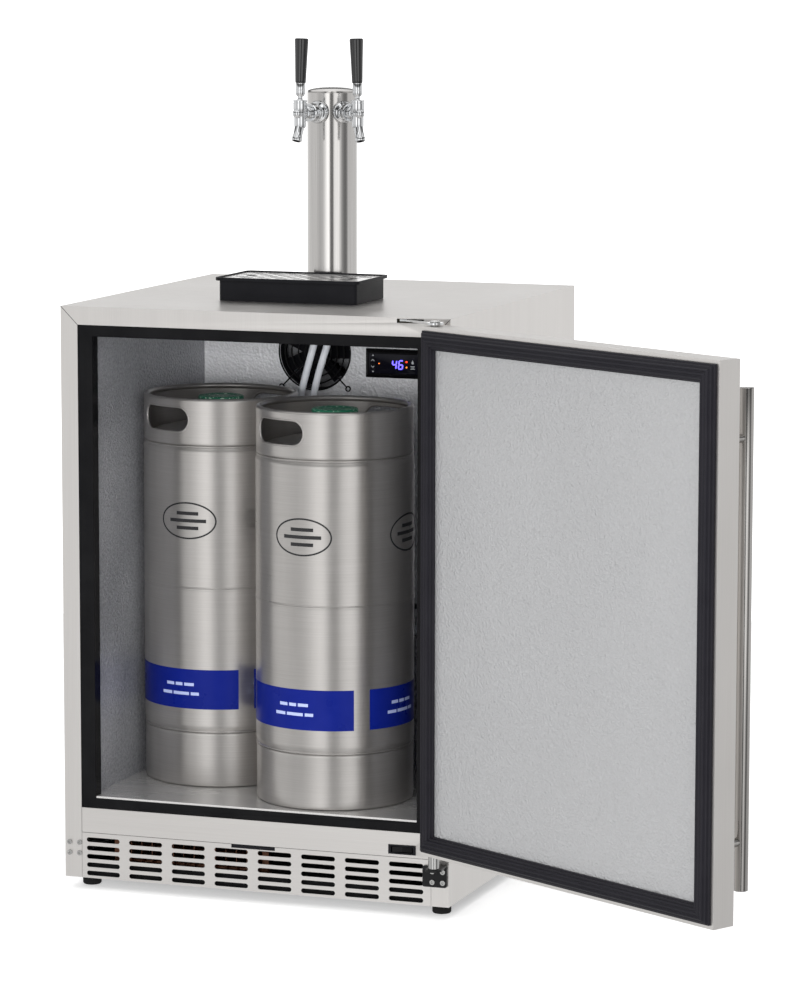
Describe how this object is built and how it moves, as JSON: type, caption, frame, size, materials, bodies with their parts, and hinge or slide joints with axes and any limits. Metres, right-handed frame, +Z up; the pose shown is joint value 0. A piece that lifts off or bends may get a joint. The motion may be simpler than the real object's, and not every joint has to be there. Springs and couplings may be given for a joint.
{
  "type": "kegerator",
  "caption": "Undercounter beer dispenser with a hinged insulated door, slim kegs in the cold room, and a draft tower with faucets above a drip tray.",
  "frame": {"origin": "on the floor, below the middle of the cabinet shell", "axes": "+X to the right seen from the front, +Y towards the back, +Z up"},
  "size_m": [1.1174, 0.9413, 1.2614],
  "materials": {
    "stainless": "brushed stainless sheet, satin",
    "zinc_sheet": "galvanised sheet, dull",
    "insulation": null,
    "liner_aluminium": "stucco-embossed aluminium sheet",
    "embossed_aluminium": "stucco-embossed aluminium sheet, light",
    "gloss_black": "glossy black plastic",
    "satin_black": "satin black plastic",
    "black_steel": "black powder coat",
    "chrome": "polished chrome plate",
    "tower_steel": "brushed tube, bright",
    "condenser_copper": "copper tube with plain fins",
    "dark_lens": "smoked window",
    "foot_rubber": "matt black rubber",
    "seal_rubber": "charcoal vinyl, ribbed",
    "keg_steel": "brushed stainless, rolled beads",
    "green_plastic": "moulded green plastic",
    "beer_hose": "translucent vinyl tube",
    "band_print": "printed blue band",
    "display_light": "lit display marks"
  },
  "bodies": {
    "cabinet": {"outer_wrap": "stainless", "back_panel": "zinc_sheet", "base_pan": "zinc_sheet", "foam_insulation": "insulation", "inner_liner": "liner_aluminium", "evaporator_cover": "liner_aluminium", "evaporator_coil": "liner_aluminium", "breaker_frame": "gloss_black", "floor_plate": "stainless", "lower_rail": "stainless", "toe_grille": "stainless", "grille_clip": "satin_black", "switch_bezel": "satin_black", "lower_hinge": "black_steel", "upper_hinge": "chrome", "hinge_pins": "chrome", "pan_screws": "chrome", "compressor": "black_steel", "condenser_coil": "condenser_copper", "condenser_fan_frame": "satin_black", "power_inlet": "satin_black", "evaporator_fan_frame": "satin_black", "evaporator_fan_guard": "black_steel", "controller_housing": "gloss_black", "controller_lens": "dark_lens", "tower_column": "tower_steel", "tower_cap": "tower_steel", "shank_left": "chrome", "shank_right": "chrome", "faucet_left": "chrome", "faucet_right": "chrome", "drip_tray": "satin_black", "drip_grate": "stainless", "line_grommet": "foot_rubber", "beer_line_left": "beer_hose", "beer_line_right": "beer_hose", "line_nuts": "chrome"},
    "door": {"door_skin": "stainless", "door_foam": "insulation", "door_liner": "embossed_aluminium", "door_gasket": "seal_rubber", "door_handle": "tower_steel", "hinge_bushes": "satin_black"},
    "left_lever": {"lever_left": "chrome", "tap_handle_left": "gloss_black"},
    "right_lever": {"lever_right": "chrome", "tap_handle_right": "gloss_black"},
    "front_keg": {"keg_front_shell": "keg_steel", "keg_front_cap": "green_plastic"},
    "rear_keg": {"keg_rear_shell": "keg_steel", "keg_rear_cap": "green_plastic"},
    "evaporator_rotor": {"evaporator_fan_rotor": "satin_black"},
    "condenser_rotor": {"condenser_fan_rotor": "satin_black"},
    "rocker": {"switch_rocker": "satin_black"},
    "up_button": {"button_up": "satin_black"},
    "down_button": {"button_down": "satin_black"},
    "front_left_foot": {"foot_front_left": "foot_rubber"},
    "front_right_foot": {"foot_front_right": "foot_rubber"},
    "rear_left_foot": {"foot_rear_left": "foot_rubber"},
    "rear_right_foot": {"foot_rear_right": "foot_rubber"}
  },
  "joints": [
    {"name": "door_hinge", "type": "hinge", "parent": "cabinet", "child": "door", "pos_m": [0.2903, -0.3271, 0.1], "axis": [0, 0, 1], "range_deg": [-150, 10]},
    {"name": "left_tap", "type": "hinge", "parent": "cabinet", "child": "left_lever", "pos_m": [-0.02555, -0.03531, 1.165], "axis": [0.9816, -0.1908, 0], "range_deg": [0, 25]},
    {"name": "right_tap", "type": "hinge", "parent": "cabinet", "child": "right_lever", "pos_m": [0.05705, -0.01005, 1.165], "axis": [0.7071, 0.7071, 0], "range_deg": [0, 25]},
    {"name": "keg_slide", "type": "slide", "parent": "cabinet", "child": "front_keg", "axis": [0.0599, -0.9982, 0], "range_m": [0, 0.62]},
    {"name": "rear_keg_slide", "type": "slide", "parent": "cabinet", "child": "rear_keg", "axis": [0.0599, -0.9982, 0], "range_m": [0, 0.62]},
    {"name": "evaporator_fan", "type": "hinge", "parent": "cabinet", "child": "evaporator_rotor", "pos_m": [-0.077, 0.18, 0.769], "axis": [0, 1, 0], "continuous": true},
    {"name": "condenser_fan", "type": "hinge", "parent": "cabinet", "child": "condenser_rotor", "pos_m": [-0.12, -0.21, 0.06], "axis": [0, 1, 0], "continuous": true},
    {"name": "switch_rock", "type": "hinge", "parent": "cabinet", "child": "rocker", "pos_m": [0.231, -0.2945, 0.0985], "axis": [0, 0, 1], "range_deg": [-10, 0]},
    {"name": "up_press", "type": "slide", "parent": "cabinet", "child": "up_button", "axis": [0, 1, 0], "range_m": [0, 0.0007], "stiffness_N_per_m": 400},
    {"name": "down_press", "type": "slide", "parent": "cabinet", "child": "down_button", "axis": [0, 1, 0], "range_m": [0, 0.0007], "stiffness_N_per_m": 400},
    {"name": "front_left_foot_turn", "type": "hinge", "parent": "cabinet", "child": "front_left_foot", "pos_m": [-0.278, -0.255, 0.02], "axis": [0, 0, 1], "continuous": true},
    {"name": "front_right_foot_turn", "type": "hinge", "parent": "cabinet", "child": "front_right_foot", "pos_m": [0.278, -0.255, 0.02], "axis": [0, 0, 1], "continuous": true},
    {"name": "rear_left_foot_turn", "type": "hinge", "parent": "cabinet", "child": "rear_left_foot", "pos_m": [-0.278, 0.255, 0.02], "axis": [0, 0, 1], "continuous": true},
    {"name": "rear_right_foot_turn", "type": "hinge", "parent": "cabinet", "child": "rear_right_foot", "pos_m": [0.278, 0.255, 0.02], "axis": [0, 0, 1], "continuous": true}
  ],
  "couplings": [
    {"joint": "rear_keg_slide", "follows": "keg_slide", "ratio": 1}
  ]
}
